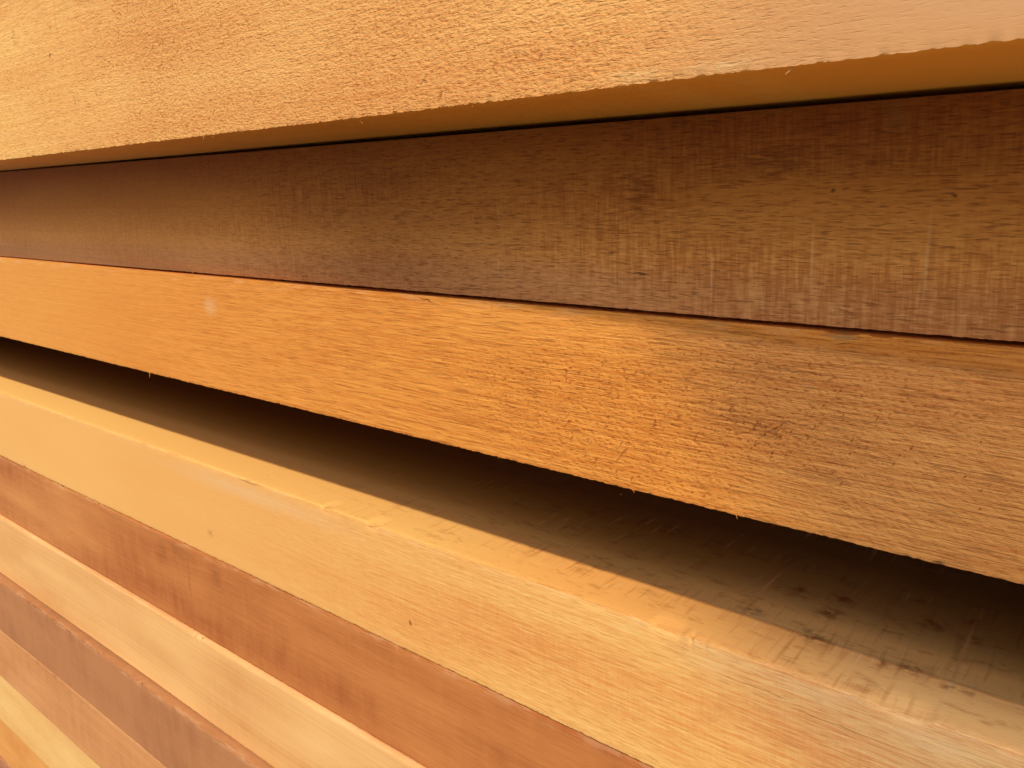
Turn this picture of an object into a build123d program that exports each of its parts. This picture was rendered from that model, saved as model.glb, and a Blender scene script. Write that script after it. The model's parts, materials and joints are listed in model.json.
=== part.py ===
"""A stack of rough-sawn hardwood, laid up as a timber yard keeps it.

Eight rows of boards lie dead-stacked at the bottom. Three bearers cross them, and
carry two more rows of boards and a top row of thicker beams. Every board is one piece
of timber: a long flat section with broken arrises, a little crook (a sideways bend),
its own length and ends cut slightly out of square. The rows don't line up: each one
stands a few millimetres in or out, and the first beam of the top row lies askew and
overhangs the boards under it.

Millimetres. X runs along the boards, Y from the front face to the back, Z up. The
origin is on the floor, at mid-length, under the middle board of the bottom row.
"""

import os
from math import radians, sin
from random import Random

from build123d import *

# The stock
board_length = 2400.0
board_width = 125.0
board_thickness = 50.0
beam_thickness = 75.0
arris = 1.0  # corner broken off along each sawn edge

# The lay-up
boards_per_row = 5
side_gap = 2.0  # least space between two boards of a row
bearer_thickness = 50.0
bearer_width = 95.0
bearer_from_end = 200.0  # from the boards' nominal ends to the middle of a bearer
bearer_recess = 15.0  # from the front and back of the stack to a bearer's end

# How far sawn timber strays from its drawing
crook_least = 0.4
crook_most = 1.0
face_crook = 0.5  # share of that crook in the straighter boards picked for the front
width_spread = 1.5
length_spread = 12.0
end_out_of_square = 1.0  # run-out of a crosscut over a board's width
loose_gap = 3.0  # most that is added to side_gap where boards aren't pushed home

# Each row from the floor up: how much it was sawn over the nominal thickness, and how
# far its front board stands back from the nominal front of the stack
lower_rows = [
    (2.1, 5.6),
    (2.4, 6.6),
    (4.3, 4.6),
    (2.2, 3.5),
    (-0.1, 2.6),
    (3.5, 8.2),
    (2.6, 10.5),
    (2.0, 10.5),
]
upper_rows = [
    (0.1, -8.0),
    (-0.3, -4.5),
]

# The beams of the top row. The front one is turned most, clockwise from above, and
# its left end stands back from the nominal front.
beam_turn = 1.41  # degrees
beam_settling = 0.6  # each beam's turn as a share of the turn of the one before it
beam_set_back = 1.4

row_depth = boards_per_row * board_width + (boards_per_row - 1) * side_gap
front = -row_depth / 2
chance = Random(7)


def spread(most):
    """A value between -most and most."""
    return chance.uniform(-most, most)


def pick_crook(share):
    """A board's sideways bend at mid-length, to the front or to the back."""
    side = chance.choice((-1, 1))
    return side * share * chance.uniform(crook_least, crook_most)


def saw(name, plane, width, thickness, crook):
    """Makes one length of timber and writes it. The plane lies under it: its origin is
    at mid-length on the front face, and its X runs along the piece."""
    left = -board_length / 2 + spread(length_spread)
    right = board_length / 2 + spread(length_spread)
    left_run_out = spread(end_out_of_square)
    right_run_out = spread(end_out_of_square)
    with BuildPart() as piece:
        with BuildSketch(plane):
            with BuildLine():
                near = ThreePointArc((left, 0), (0, crook), (right, 0))
                right_end = Line(near @ 1, (right + right_run_out, width))
                far = ThreePointArc(
                    right_end @ 1, (0, width + crook), (left + left_run_out, width)
                )
                Line(far @ 1, near @ 0)
            make_face()
        extrude(amount=thickness)
        chamfer(piece.edges().filter_by(GeomType.CIRCLE), length=arris)
    piece.part.label = name
    export_step(piece.part, f"parts/{name}.step")


def lay_row(row_name, floor, thickness, set_back):
    """Lays one row of boards from the front, each clear of the one before it."""
    edge = front + set_back
    previous_crook = None
    for number in range(1, boards_per_row + 1):
        first = previous_crook is None
        crook = pick_crook(face_crook if first else 1.0)
        width = board_width + spread(width_spread)
        if not first:
            room_for_crook = max(0.0, previous_crook - crook)
            edge += side_gap + room_for_crook + chance.uniform(0, loose_gap)
        plane = Plane.XY.offset(floor).shift_origin((0, edge, floor))
        saw(f"{row_name}_board{number}", plane, width, thickness, crook)
        edge += width
        previous_crook = crook


def lay_beams(floor):
    """Lays the top row. Each beam is turned less than the one before it, so two beams
    are nearest at their left ends. There the gap is set, with room for both to bend."""
    room_for_crook = face_crook * crook_most + face_crook * crook_most
    left_edge = front + beam_set_back
    turn = beam_turn
    for number in range(1, boards_per_row + 1):
        middle_edge = left_edge - sin(radians(turn)) * board_length / 2
        width = board_width + spread(width_spread)
        along = Vector(1, 0, 0).rotate(Axis.Z, -turn)
        plane = Plane(origin=(0, middle_edge, floor), x_dir=along, z_dir=(0, 0, 1))
        saw(f"top_row_beam{number}", plane, width, beam_thickness, pick_crook(face_crook))
        left_edge += width + side_gap + room_for_crook
        turn *= beam_settling


def lay_bearers(floor):
    """Lays the cross timbers that keep the upper rows off the lower ones."""
    bearer_length = row_depth - 2 * bearer_recess
    outer = board_length / 2 - bearer_from_end
    for side, middle in (("left", -outer), ("middle", 0.0), ("right", outer)):
        with BuildPart() as bearer:
            with BuildSketch(Plane.XY.offset(floor)):
                with Locations((middle, 0)):
                    Rectangle(bearer_width, bearer_length)
            extrude(amount=bearer_thickness)
            chamfer(bearer.edges().filter_by(Axis.Y), length=arris)
        bearer.part.label = f"bearer_{side}"
        export_step(bearer.part, f"parts/bearer_{side}.step")


os.makedirs("parts", exist_ok=True)

height = 0.0
for number, (oversize, set_back) in enumerate(lower_rows, start=1):
    lay_row(f"lower_row{number}", height, board_thickness + oversize, set_back)
    height += board_thickness + oversize

lay_bearers(height)
height += bearer_thickness

for number, (oversize, set_back) in enumerate(upper_rows, start=1):
    lay_row(f"upper_row{number}", height, board_thickness + oversize, set_back)
    height += board_thickness + oversize

lay_beams(height)
print(f"Stack {board_length:.0f} long, {row_depth:.0f} deep, {height + beam_thickness:.1f} high")
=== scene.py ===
# %% [markdown]
# A stack of rough-sawn lumber, seen from close by. It is 55 lengths of hardwood and
# three bearers (the cross timbers that hold the upper rows up). Their sizes and places
# come from the imported frame. This lesson dresses them: boards get torn arrises (an
# arris is the long edge between two sawn faces) and a finish with grain, saw marks,
# raised fibres and end grain. The frame is loaded first, and its box is kept.

# %% Load the frame
import json
from math import ceil, pi, radians
from random import Random

import bmesh
import bpy
from mathutils import Euler, Matrix, Vector


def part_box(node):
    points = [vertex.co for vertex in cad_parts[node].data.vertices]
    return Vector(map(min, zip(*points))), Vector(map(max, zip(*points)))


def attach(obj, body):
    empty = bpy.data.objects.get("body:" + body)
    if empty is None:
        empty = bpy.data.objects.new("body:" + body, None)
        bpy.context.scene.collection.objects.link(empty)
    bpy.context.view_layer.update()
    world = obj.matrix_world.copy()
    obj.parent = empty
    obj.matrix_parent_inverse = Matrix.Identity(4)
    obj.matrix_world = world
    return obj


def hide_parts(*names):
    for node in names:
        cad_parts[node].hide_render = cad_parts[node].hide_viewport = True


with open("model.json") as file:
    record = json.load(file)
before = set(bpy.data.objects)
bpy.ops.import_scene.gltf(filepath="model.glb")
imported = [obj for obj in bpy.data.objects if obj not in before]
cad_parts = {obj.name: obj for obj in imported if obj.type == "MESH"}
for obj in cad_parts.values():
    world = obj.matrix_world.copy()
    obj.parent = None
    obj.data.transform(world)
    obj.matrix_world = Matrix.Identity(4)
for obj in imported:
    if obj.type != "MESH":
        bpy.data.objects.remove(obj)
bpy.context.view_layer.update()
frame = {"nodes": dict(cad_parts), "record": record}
timber = frame["nodes"]
print(f"{len(timber)} pieces of timber are in the frame")

# %% [markdown]
# The camera stands close to the right-hand part of the front and looks along the
# boards, so that their edges run together at the left. The lens was worked out from
# those edges, and it is kept as a focal length in pixels of the photograph. The height
# is measured from the top of the board that stands out most in the middle of the view.

# %% The camera
photo_width = 1024
focal_length_px = 747.0
sensor_mm = 36.0
camera_along = 0.930
camera_out = 0.178  # in front of that board's face
camera_over = 0.0257  # over that board's top
camera_turn = 37.0  # degrees to the left of square-on to the boards
camera_dip = 12.86  # degrees below level

middle_low, middle_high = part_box("upper_row1_board1")
camera_place = (camera_along, middle_low[1] - camera_out, middle_high[2] + camera_over)
bpy.ops.object.camera_add(
    location=camera_place,
    rotation=(radians(90 - camera_dip), 0, radians(camera_turn)),
)
camera = bpy.context.object
camera.data.sensor_width = sensor_mm
camera.data.lens = focal_length_px / photo_width * sensor_mm
camera.data.clip_start = 0.01
bpy.context.scene.camera = camera
print(f"Lens {camera.data.lens:.1f} mm, {camera_place[2]:.3f} m above the floor")

# %% [markdown]
# One lamp and a pale world light the stack. The lamp stands to the right, in front and
# above, so the overhanging top beam shades the board under it, and light rakes over
# the sawn faces and shows their texture. A sun lamp gives the same light all along the
# boards. Its strength is worked out so that a face that looks to the front comes out
# about as bright as its colour is written.

# %% The light
to_lamp = Vector((0.80, -1.0, 1.26)).normalized()
lamp_share = 0.50  # of the light on the front faces
lamp_softness = 1.6  # degrees
front_cosine = -to_lamp.y

bpy.ops.object.light_add(type="SUN", rotation=to_lamp.to_track_quat("Z", "Y").to_euler())
lamp = bpy.context.object
lamp.name = "key_lamp"
lamp.data.energy = lamp_share * pi / front_cosine
lamp.data.angle = radians(lamp_softness)
lamp.data.color = (1.0, 0.97, 0.92)
print(f"Lamp strength {lamp.data.energy:.2f}")

# %% [markdown]
# Node trees are built in code all through this lesson, so a few helpers come first.
# Each adds one node and links it: a socket given as a value is linked, and a plain
# number or colour is set.


# %% Helpers for node trees
def add_node(tree, kind, values=None, **settings):
    """Adds a node. Values are for its sockets, by name or by number."""
    node = tree.nodes.new(kind)
    for name, setting in settings.items():
        setattr(node, name, setting)
    for key, value in (values or {}).items():
        if isinstance(value, bpy.types.NodeSocket):
            tree.links.new(value, node.inputs[key])
        else:
            node.inputs[key].default_value = value
    return node


def maths(tree, operation, *values, clamp=False):
    """One sum on numbers."""
    node = add_node(
        tree, "ShaderNodeMath", dict(enumerate(values)), operation=operation, use_clamp=clamp
    )
    return node.outputs[0]


def product(tree, *values):
    """All the numbers multiplied together."""
    result = values[0]
    for value in values[1:]:
        result = maths(tree, "MULTIPLY", result, value)
    return result


def vector_maths(tree, operation, *values):
    """One sum on vectors."""
    node = add_node(
        tree, "ShaderNodeVectorMath", dict(enumerate(values)), operation=operation
    )
    return node.outputs["Vector"]


def soft_step(tree, value, low, high):
    """Goes smoothly from 0, where the value is low, to 1, where it is high."""
    values = {"Value": value, "From Min": low, "From Max": high}
    node = add_node(tree, "ShaderNodeMapRange", values, interpolation_type="SMOOTHSTEP")
    return node.outputs["Result"]


def ramp(tree, value, stops):
    """Goes smoothly through colours. Stops are (value, red, green, blue), lowest first."""
    low, high = stops[0][0], stops[-1][0]
    share = add_node(
        tree, "ShaderNodeMapRange", {"Value": value, "From Min": low, "From Max": high}
    ).outputs["Result"]
    node = add_node(tree, "ShaderNodeValToRGB", {"Fac": share})
    marks = node.color_ramp.elements
    for number, (at, *colour) in enumerate(stops):
        position = (at - low) / (high - low)
        if number < 2:
            mark = marks[number]
            mark.position = position
        else:
            mark = marks.new(position)
        mark.color = (*colour, 1.0)
    return node.outputs["Color"]


def noise(tree, place, size, detail=2.0, roughness=0.5, distortion=0.0):
    """Cloudy noise whose blotches measure about `size`: along, across and up, in metres."""
    stretched = vector_maths(tree, "DIVIDE", place, size)
    values = {
        "Vector": stretched,
        "Scale": 1.0,
        "Detail": detail,
        "Roughness": roughness,
        "Distortion": distortion,
    }
    return add_node(tree, "ShaderNodeTexNoise", values).outputs[0]


def mix_colour(tree, share, first, second, blend="MIX"):
    """Goes from the first colour to the second by the share."""
    # The node has sockets for each kind of data, and the ones for colours are 6 and 7
    values = {0: share, 6: first, 7: second}
    node = add_node(tree, "ShaderNodeMix", values, data_type="RGBA", blend_type=blend)
    return node.outputs[2]


def start_group(name, kind, inputs, outputs):
    """Starts a node group. Inputs are (name, socket kind, first value)."""
    tree = bpy.data.node_groups.new(name, kind)
    for label, socket_kind, value in inputs:
        socket = tree.interface.new_socket(
            label, in_out="INPUT", socket_type=f"NodeSocket{socket_kind}"
        )
        if value is not None:
            socket.default_value = value
    for label, socket_kind in outputs:
        tree.interface.new_socket(
            label, in_out="OUTPUT", socket_type=f"NodeSocket{socket_kind}"
        )
    return tree, tree.nodes.new("NodeGroupInput").outputs


def end_group(tree, values):
    """Links what the group puts out."""
    add_node(tree, "NodeGroupOutput", values)


def tone(red, green, blue):
    """A colour given as on a screen, turned into the light that Blender adds up."""
    screen = (red / 255, green / 255, blue / 255)
    return (*(c / 12.92 if c <= 0.04045 else ((c + 0.055) / 1.055) ** 2.4 for c in screen), 1.0)


# %% [markdown]
# The floor is pale where the camera sees it. The light that it throws back up comes
# from the same material, through Light Path, as darker ground would throw it: with a
# white floor's light the board under the overhang would lose its shade. The world is
# done in the same way.

# %% Floor and world
pale_floor = tone(205, 202, 196)
ground_for_light = tone(118, 111, 97)
pale_sky = tone(240, 240, 238)
sky_strength = 0.80
sky_tint = (0.92, 0.96, 1.0, 1.0)
floor_size = 30.0
floor_roughness = 0.9
floor_shine = 0.1


def seen_directly(tree):
    """1 for what the camera sees, straight or in a shine or through glass."""
    rays = add_node(tree, "ShaderNodeLightPath").outputs
    shine = maths(tree, "MAXIMUM", rays["Is Glossy Ray"], rays["Is Transmission Ray"])
    return maths(tree, "MAXIMUM", rays["Is Camera Ray"], shine)


bpy.ops.mesh.primitive_plane_add(size=floor_size)
floor = bpy.context.object
floor.name = "floor"
floor_finish = bpy.data.materials.new("pale_floor")
floor_finish.use_nodes = True
tree = floor_finish.node_tree
floor_colour = mix_colour(tree, seen_directly(tree), ground_for_light, pale_floor)
tree.links.new(floor_colour, tree.nodes["Principled BSDF"].inputs["Base Color"])
tree.nodes["Principled BSDF"].inputs["Roughness"].default_value = floor_roughness
tree.nodes["Principled BSDF"].inputs["Specular IOR Level"].default_value = floor_shine
floor.data.materials.append(floor_finish)

world = bpy.data.worlds.new("pale_world")
bpy.context.scene.world = world
world.use_nodes = True
tree = world.node_tree
backdrop = tree.nodes["Background"]
direct = seen_directly(tree)
world_colour = mix_colour(tree, direct, sky_tint, pale_sky)
world_strength = maths(tree, "MULTIPLY_ADD", direct, 1.0 - sky_strength, sky_strength)
tree.links.new(world_colour, backdrop.inputs["Color"])
tree.links.new(world_strength, backdrop.inputs["Strength"])
bpy.context.scene.view_settings.view_transform = "Standard"
print("The floor and the world are ready")

# %% [markdown]
# A sawn board starts as a cube. Bisect cuts it where its section needs corners: close
# to each arris, where chips break out, and again a little further in, so that a chip
# doesn't bend the light on the whole face. Subdivide then cuts its long edges into
# stations. They are closest in the stretch of the front that is seen from a hand's
# breadth away, so that each torn chip is real shape there, and further apart where the
# stack is only seen as a whole. One blank with very close stations is made for the
# upper boards of the front, one for the lower boards, whose near stretch lies further
# to the left, and a plainer one for the rest.

# %% Cut the blanks
blank_length = 2.4
blank_width = 0.125
blank_thickness = 0.050

# Each stretch along a board: where it starts and how far apart its stations are.
# It ends where the next one starts, and the last one at the board's right end.
upper_stretches = [
    (-1.200, 0.003),
    (-1.180, 0.009),
    (0.280, 0.0020),
    (0.500, 0.0010),
    (0.680, 0.00055),
    (0.950, 0.009),
    (1.180, 0.003),
]
lower_stretches = [
    (-1.200, 0.003),
    (-1.180, 0.009),
    (0.180, 0.0013),
    (0.760, 0.009),
    (1.180, 0.003),
]
plain_stretches = [(-1.200, 0.003), (-1.185, 0.025), (1.185, 0.003)]

# How far the loops lie from each arris, over the face
near_loops = (0.0005, 0.0013, 0.003, 0.006, 0.010)
far_loops = (0.0012, 0.006)
most_pieces = 100  # that one Subdivide cuts an edge into
across_board = 1e-5  # an edge whose ends differ by less along the board runs across it
faces_back = 0.9  # the least Y of the normal of a back face


def cut_across(place, normal, skip_back=False):
    """Bisects the mesh with one plane, in edit mode. The back face can be left whole."""
    bpy.ops.mesh.select_mode(type="FACE")
    blank = bmesh.from_edit_mesh(bpy.context.object.data)
    for face in blank.faces:
        face.select_set(not (skip_back and face.normal.y > faces_back))
    bpy.ops.mesh.bisect(plane_co=place, plane_no=normal)


def cut_stretch(start, end, spacing):
    """Subdivides the long edges between two places along the board."""
    pieces = ceil((end - start) / spacing)
    first_pass = ceil(pieces / most_pieces)
    bpy.ops.mesh.select_mode(type="EDGE")
    for parts in (first_pass, ceil(pieces / first_pass)):
        if parts < 2:
            continue
        blank = bmesh.from_edit_mesh(bpy.context.object.data)
        for edge in blank.edges:
            ends = [corner.co for corner in edge.verts]
            along = abs(ends[0].x - ends[1].x) > across_board
            middle = (ends[0].x + ends[1].x) / 2
            edge.select_set(along and start < middle < end)
        bpy.ops.mesh.subdivide(number_cuts=parts - 1)


def cut_blank(name, stretches, front_loops, back_loops, skip_back=False):
    """A board from a cube: front at its low Y, stations and loops as asked."""
    bpy.ops.object.select_all(action="DESELECT")
    bpy.ops.mesh.primitive_cube_add(size=1)
    blank = bpy.context.object
    blank.name = name
    blank.scale = (blank_length, blank_width, blank_thickness)
    bpy.ops.object.transform_apply(scale=True)
    bpy.ops.object.mode_set(mode="EDIT")
    half_width = blank_width / 2
    half_thickness = blank_thickness / 2
    for step in front_loops:
        cut_across((0, -half_width + step, 0), (0, 1, 0))
        cut_across((0, 0, -half_thickness + step), (0, 0, 1), skip_back)
        cut_across((0, 0, half_thickness - step), (0, 0, 1), skip_back)
    for step in back_loops:
        cut_across((0, half_width - step, 0), (0, 1, 0))
    for start, _ in stretches[1:]:
        cut_across((start, 0, 0), (1, 0, 0))
    ends = [start for start, _ in stretches[1:]] + [blank_length / 2]
    for (start, spacing), end in zip(stretches, ends):
        cut_stretch(start, end, spacing)
    bpy.ops.object.mode_set(mode="OBJECT")
    print(f"{name}: {len(blank.data.polygons)} faces")
    return blank


upper_blank = cut_blank("upper_blank", upper_stretches, near_loops, far_loops, True)
lower_blank = cut_blank("lower_blank", lower_stretches, near_loops, far_loops, True)
plain_blank = cut_blank("plain_blank", plain_stretches, far_loops, far_loops)

# %% [markdown]
# A saw leaves no board quite flat, and its arrises tear. By hand this would be
# sculpted. Here one Geometry Nodes group does it to any blank: it works out how far
# each corner of the mesh lies from the arris, and pushes it in by several noises, a
# slow one for the wavy face, one for broken chips and a fine one for frayed fibres. It
# only ever pushes inwards, so the board keeps its size. Feet and hands rub the upper
# arrises, so they are rounder than the lower ones. The top can be lowered towards one
# end, and the bottom raised, which opens the black line that shows where a bent board
# doesn't lie close. The group stores how near the arris is, for the finish to read.

# %% Tear the arrises
arris_reach = 0.006  # how far from the arris the wear of the finish goes
line_opens = (0.25, 0.85)  # along the board, where the line above it opens
low_wear = 0.3  # how round a lower arris is, as a share of an upper one
chip_zone = (0.0035, 0.0003)  # from the arris: where chips start and where they are deepest
fray_zone = 0.0009
end_zone = 0.004
end_chip_depth = 0.0018

# The size of the blotches in each noise: along, across and up
worn_size = (0.05, 0.02, 0.02)
chip_size = (0.009, 0.016, 0.016)
thread_size = (0.0022, 0.008, 0.008)
end_chip_size = (0.006, 0.006, 0.006)
wave_size = (0.16, 0.05, 0.05)


def make_sawn_form():
    """The Geometry Nodes group that roughens a blank."""
    inputs = [
        ("Geometry", "Geometry", None),
        ("Seed", "Float", 0.0),
        ("Chip depth", "Float", 0.0012),
        ("Chip share", "Float", 0.3),
        ("Fray depth", "Float", 0.0003),
        ("Wear reach", "Float", 0.0014),
        ("Wave depth", "Float", 0.0003),
        ("Line above", "Float", 0.0002),
        ("Line below", "Float", 0.0),
    ]
    tree, given = start_group(
        "sawn_form", "GeometryNodeTree", inputs, [("Geometry", "Geometry")]
    )
    place = tree.nodes.new("GeometryNodeInputPosition").outputs[0]
    normal = tree.nodes.new("GeometryNodeInputNormal").outputs[0]
    box = add_node(tree, "GeometryNodeBoundBox", {"Geometry": given["Geometry"]}).outputs
    from_low = vector_maths(tree, "SUBTRACT", place, box["Min"])
    from_high = vector_maths(tree, "SUBTRACT", box["Max"], place)
    nearest = vector_maths(tree, "MINIMUM", from_low, from_high)
    inside = add_node(tree, "ShaderNodeSeparateXYZ", {0: nearest}).outputs
    from_arris = maths(tree, "ADD", inside["Y"], inside["Z"])
    from_side = maths(tree, "MINIMUM", inside["Y"], inside["Z"])
    from_end_edge = maths(tree, "ADD", inside["X"], from_side)
    shift = add_node(tree, "ShaderNodeCombineXYZ", {"X": given["Seed"]}).outputs[0]
    seeded = vector_maths(tree, "ADD", place, shift)

    # The arris itself, rubbed round
    along, _, level = add_node(tree, "ShaderNodeSeparateXYZ", {0: place}).outputs
    upper = soft_step(tree, level, -0.001, 0.001)
    reach = maths(tree, "MULTIPLY_ADD", upper, 1.0 - low_wear, low_wear)
    reach = maths(tree, "MULTIPLY", reach, given["Wear reach"])
    broken = soft_step(tree, from_arris, reach, 0.0)
    rubbed = noise(tree, seeded, worn_size)
    rubbed = maths(tree, "MULTIPLY_ADD", rubbed, 0.5, 0.08)
    rounding = product(tree, broken, rubbed, reach)

    # Chips: blotches of noise over a level that depends on how many there should be
    blotches = noise(tree, seeded, chip_size, detail=3.0, roughness=0.65)
    level = maths(tree, "SUBTRACT", 0.76, maths(tree, "MULTIPLY", given["Chip share"], 0.2))
    over = maths(tree, "SUBTRACT", blotches, level)
    chips = soft_step(tree, over, 0.0, 0.07)
    in_reach = soft_step(tree, from_arris, *chip_zone)
    chipping = product(tree, chips, in_reach, given["Chip depth"])

    # Frayed fibres right on the arris
    threads = noise(tree, seeded, thread_size, detail=3.0, roughness=0.7)
    at_arris = soft_step(tree, from_arris, fray_zone, 0.0)
    fraying = product(tree, soft_step(tree, threads, 0.38, 0.72), at_arris, given["Fray depth"])

    # The ends: edges knocked off by the crosscut and by handling
    end_near = soft_step(tree, from_end_edge, end_zone, 0.0)
    end_chips = soft_step(tree, noise(tree, seeded, end_chip_size), 0.45, 0.7)
    end_chipping = product(tree, end_chips, end_near, end_chip_depth)

    # The wavy faces
    waves = soft_step(tree, noise(tree, seeded, wave_size), 0.3, 0.7)
    waving = product(tree, waves, given["Wave depth"])

    # The line above a board and the one below it, which open along its length
    upward = add_node(tree, "ShaderNodeSeparateXYZ", {0: normal}).outputs["Z"]
    downward = maths(tree, "MULTIPLY", upward, -1.0)
    opened = maths(tree, "MULTIPLY", maths(tree, "MAXIMUM", upward, 0.0), given["Line above"])
    raised = maths(tree, "MULTIPLY", maths(tree, "MAXIMUM", downward, 0.0), given["Line below"])
    raised = maths(tree, "MULTIPLY", raised, soft_step(tree, inside["Y"], 0.002, 0.010))
    opened = product(tree, opened, soft_step(tree, along, *line_opens))
    raised = product(tree, raised, soft_step(tree, along, *line_opens))

    # All of it goes inwards
    depth = rounding
    for part in (chipping, fraying, end_chipping, waving, opened, raised):
        depth = maths(tree, "ADD", depth, part)
    inwards = add_node(
        tree, "ShaderNodeVectorMath", {0: normal, "Scale": maths(tree, "MULTIPLY", depth, -1.0)},
        operation="SCALE",
    ).outputs["Vector"]
    nearness = maths(tree, "DIVIDE", from_arris, arris_reach, clamp=True)
    nearness = maths(tree, "SUBTRACT", 1.0, nearness)
    stored = add_node(
        tree, "GeometryNodeStoreNamedAttribute",
        {"Geometry": given["Geometry"], "Name": "arris", "Value": nearness},
        data_type="FLOAT", domain="POINT",
    )
    moved = add_node(
        tree, "GeometryNodeSetPosition",
        {"Geometry": stored.outputs["Geometry"], "Offset": inwards},
    )
    end_group(tree, {"Geometry": moved.outputs["Geometry"]})
    return tree


sawn_form = make_sawn_form()
print("The group that tears arrises is ready")

# %% [markdown]
# Each blank is then fitted to its own board in the frame. No board there is a true
# box: it has its own length, it bends a little sideways (its crook), its ends are out
# of square, and the top beams lie askew. Those are measured on the frame's solid. A
# lattice, a cage of a few points round the blank, is pulled to the measured corners,
# and the blank follows.

# %% Fit a blank to a board
face_margin = 0.0002  # keeps the search between the arrises of the solid
end_margin = 0.010
inside_share = 0.999  # of a board's width, so that its back stays inside the frame
clearly_nearer = 1e-4
cage_points = (5, 2, 2)  # along, across and up: with five along, a board can bend


def measure(name):
    """The corners of a board's lower face, as {(end, side): (x, y)}, and its crook."""
    low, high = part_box(name)
    points = [v.co for v in timber[name].data.vertices]
    faces = [p for p in points if low[2] + face_margin < p.z < high[2] - face_margin]
    corners = {}
    for end in (0, 1):
        there = [p for p in faces if abs(p.x - (low[0], high[0])[end]) < end_margin]
        corners[end, 0] = min(there, key=lambda p: p.y).xy
        corners[end, 1] = max(there, key=lambda p: p.y).xy
    front_left, front_right = corners[0, 0], corners[1, 0]
    half_width = (corners[0, 1] - front_left).length / 2
    crook = 0.0
    nearest_middle = 1.0
    for p in faces:
        along = (p.x - front_left.x) / (front_right.x - front_left.x)
        off_line = p.y - front_left.lerp(front_right, along).y
        from_middle = abs(2 * along - 1)
        if abs(off_line) < half_width and from_middle < nearest_middle - clearly_nearer:
            nearest_middle = from_middle
            crook = off_line / (1 - from_middle**2)
    return corners, crook, (low[2], high[2])


def pull_to_board(piece, name):
    """Pulls a blank to a board's measured shape with a lattice, and applies it."""
    corners, crook, levels = measure(name)
    bpy.ops.object.add(type="LATTICE")
    cage = bpy.context.object
    cage.data.points_u, cage.data.points_v, cage.data.points_w = cage_points
    for axis in "uvw":
        setattr(cage.data, f"interpolation_type_{axis}", "KEY_LINEAR")
    cage.data.interpolation_type_u = "KEY_CATMULL_ROM"
    points = cage.data.points
    low = [min(p.co[i] for p in points) for i in range(3)]
    high = [max(p.co[i] for p in points) for i in range(3)]
    blank_size = (blank_length, blank_width, blank_thickness)
    cage.scale = [blank_size[i] / (high[i] - low[i]) for i in range(3)]
    for p in points:
        along, across, up = ((p.co[i] - low[i]) / (high[i] - low[i]) for i in range(3))
        front = corners[0, 0].lerp(corners[1, 0], along)
        back = corners[0, 1].lerp(corners[1, 1], along)
        target = front.lerp(back, across * inside_share).to_3d()
        target.y += crook * (1 - (2 * along - 1) ** 2)
        target.z = levels[round(up)]
        p.co_deform = [target[i] / cage.scale[i] for i in range(3)]
    bpy.context.view_layer.update()
    bpy.context.view_layer.objects.active = piece
    modifier = piece.modifiers.new("fit", "LATTICE")
    modifier.object = cage
    bpy.ops.object.modifier_apply(modifier=modifier.name)
    bpy.data.objects.remove(cage)


# %% [markdown]
# Two more functions work on one board. The first runs the arris group with the board's
# own values. The second breaks out a chip that the photograph shows, by moving the
# corners of the mesh near it.

# %% Roughen and chip a board
chip_reach = 0.003  # how far from an arris a named chip goes


def roughen(piece, values):
    """Runs the arris group on a piece with its own values, and applies it."""
    modifier = piece.modifiers.new("saw", "NODES")
    modifier.node_group = sawn_form
    for item in sawn_form.interface.items_tree:
        if item.in_out == "INPUT" and item.name in values:
            modifier[item.identifier] = values[item.name]
    bpy.context.view_layer.objects.active = piece
    bpy.ops.object.modifier_apply(modifier=modifier.name)


def break_chip(piece, along, arris_up, length, depth):
    """Breaks one chip out of a front arris: its corners go in and towards mid-height."""
    front = min(corner.co.y for corner in piece.data.vertices)
    heights = [corner.co.z for corner in piece.data.vertices]
    side = 1 if arris_up < (min(heights) + max(heights)) / 2 else -1
    for corner in piece.data.vertices:
        from_middle = abs(corner.co.x - along) / (length / 2)
        from_arris = abs(corner.co.z - arris_up) / chip_reach
        if from_middle < 1 and from_arris < 1 and corner.co.y < front + 2 * chip_reach:
            push = depth * (1 - from_middle**4) * (1 - from_arris)
            corner.co.z += side * push
            corner.co.y += push / 2


# %% [markdown]
# The boards of the front have their own values, read off the photograph: how worn and
# chipped the arrises are, and how wide the line above each board stands open. The
# others get values by chance, from a seeded source, so that every run gives the same.

# %% Make the boards
chance = Random(21)
seed_spread = 5.0  # metres of shift along the grain, so that no two boards are alike
front_forms = {
    "top_row_beam1": {
        "Chip share": 0.3, "Chip depth": 0.0007, "Fray depth": 0.0004, "Wear reach": 0.0004,
        "Wave depth": 0.0002, "Line below": 0.0007,
    },
    "upper_row2_board1": {"Chip share": 0.2, "Wear reach": 0.0006, "Line above": 0.0005},
    "upper_row1_board1": {
        "Chip share": 0.2, "Wear reach": 0.0006, "Wave depth": 0.0002, "Line above": 0.0008,
    },
    "lower_row8_board1": {"Chip share": 0.5, "Chip depth": 0.0009, "Wear reach": 0.0008},
    "lower_row7_board1": {"Chip share": 0.6, "Chip depth": 0.0012, "Wave depth": 0.0005},
    "lower_row6_board1": {
        "Chip share": 0.6, "Chip depth": 0.0013, "Wear reach": 0.0016, "Wave depth": 0.0006,
    },
    "lower_row5_board1": {"Chip share": 0.6, "Chip depth": 0.0014, "Wave depth": 0.0006},
    "lower_row4_board1": {"Chip share": 0.6, "Chip depth": 0.0012, "Wave depth": 0.0005},
}

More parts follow.
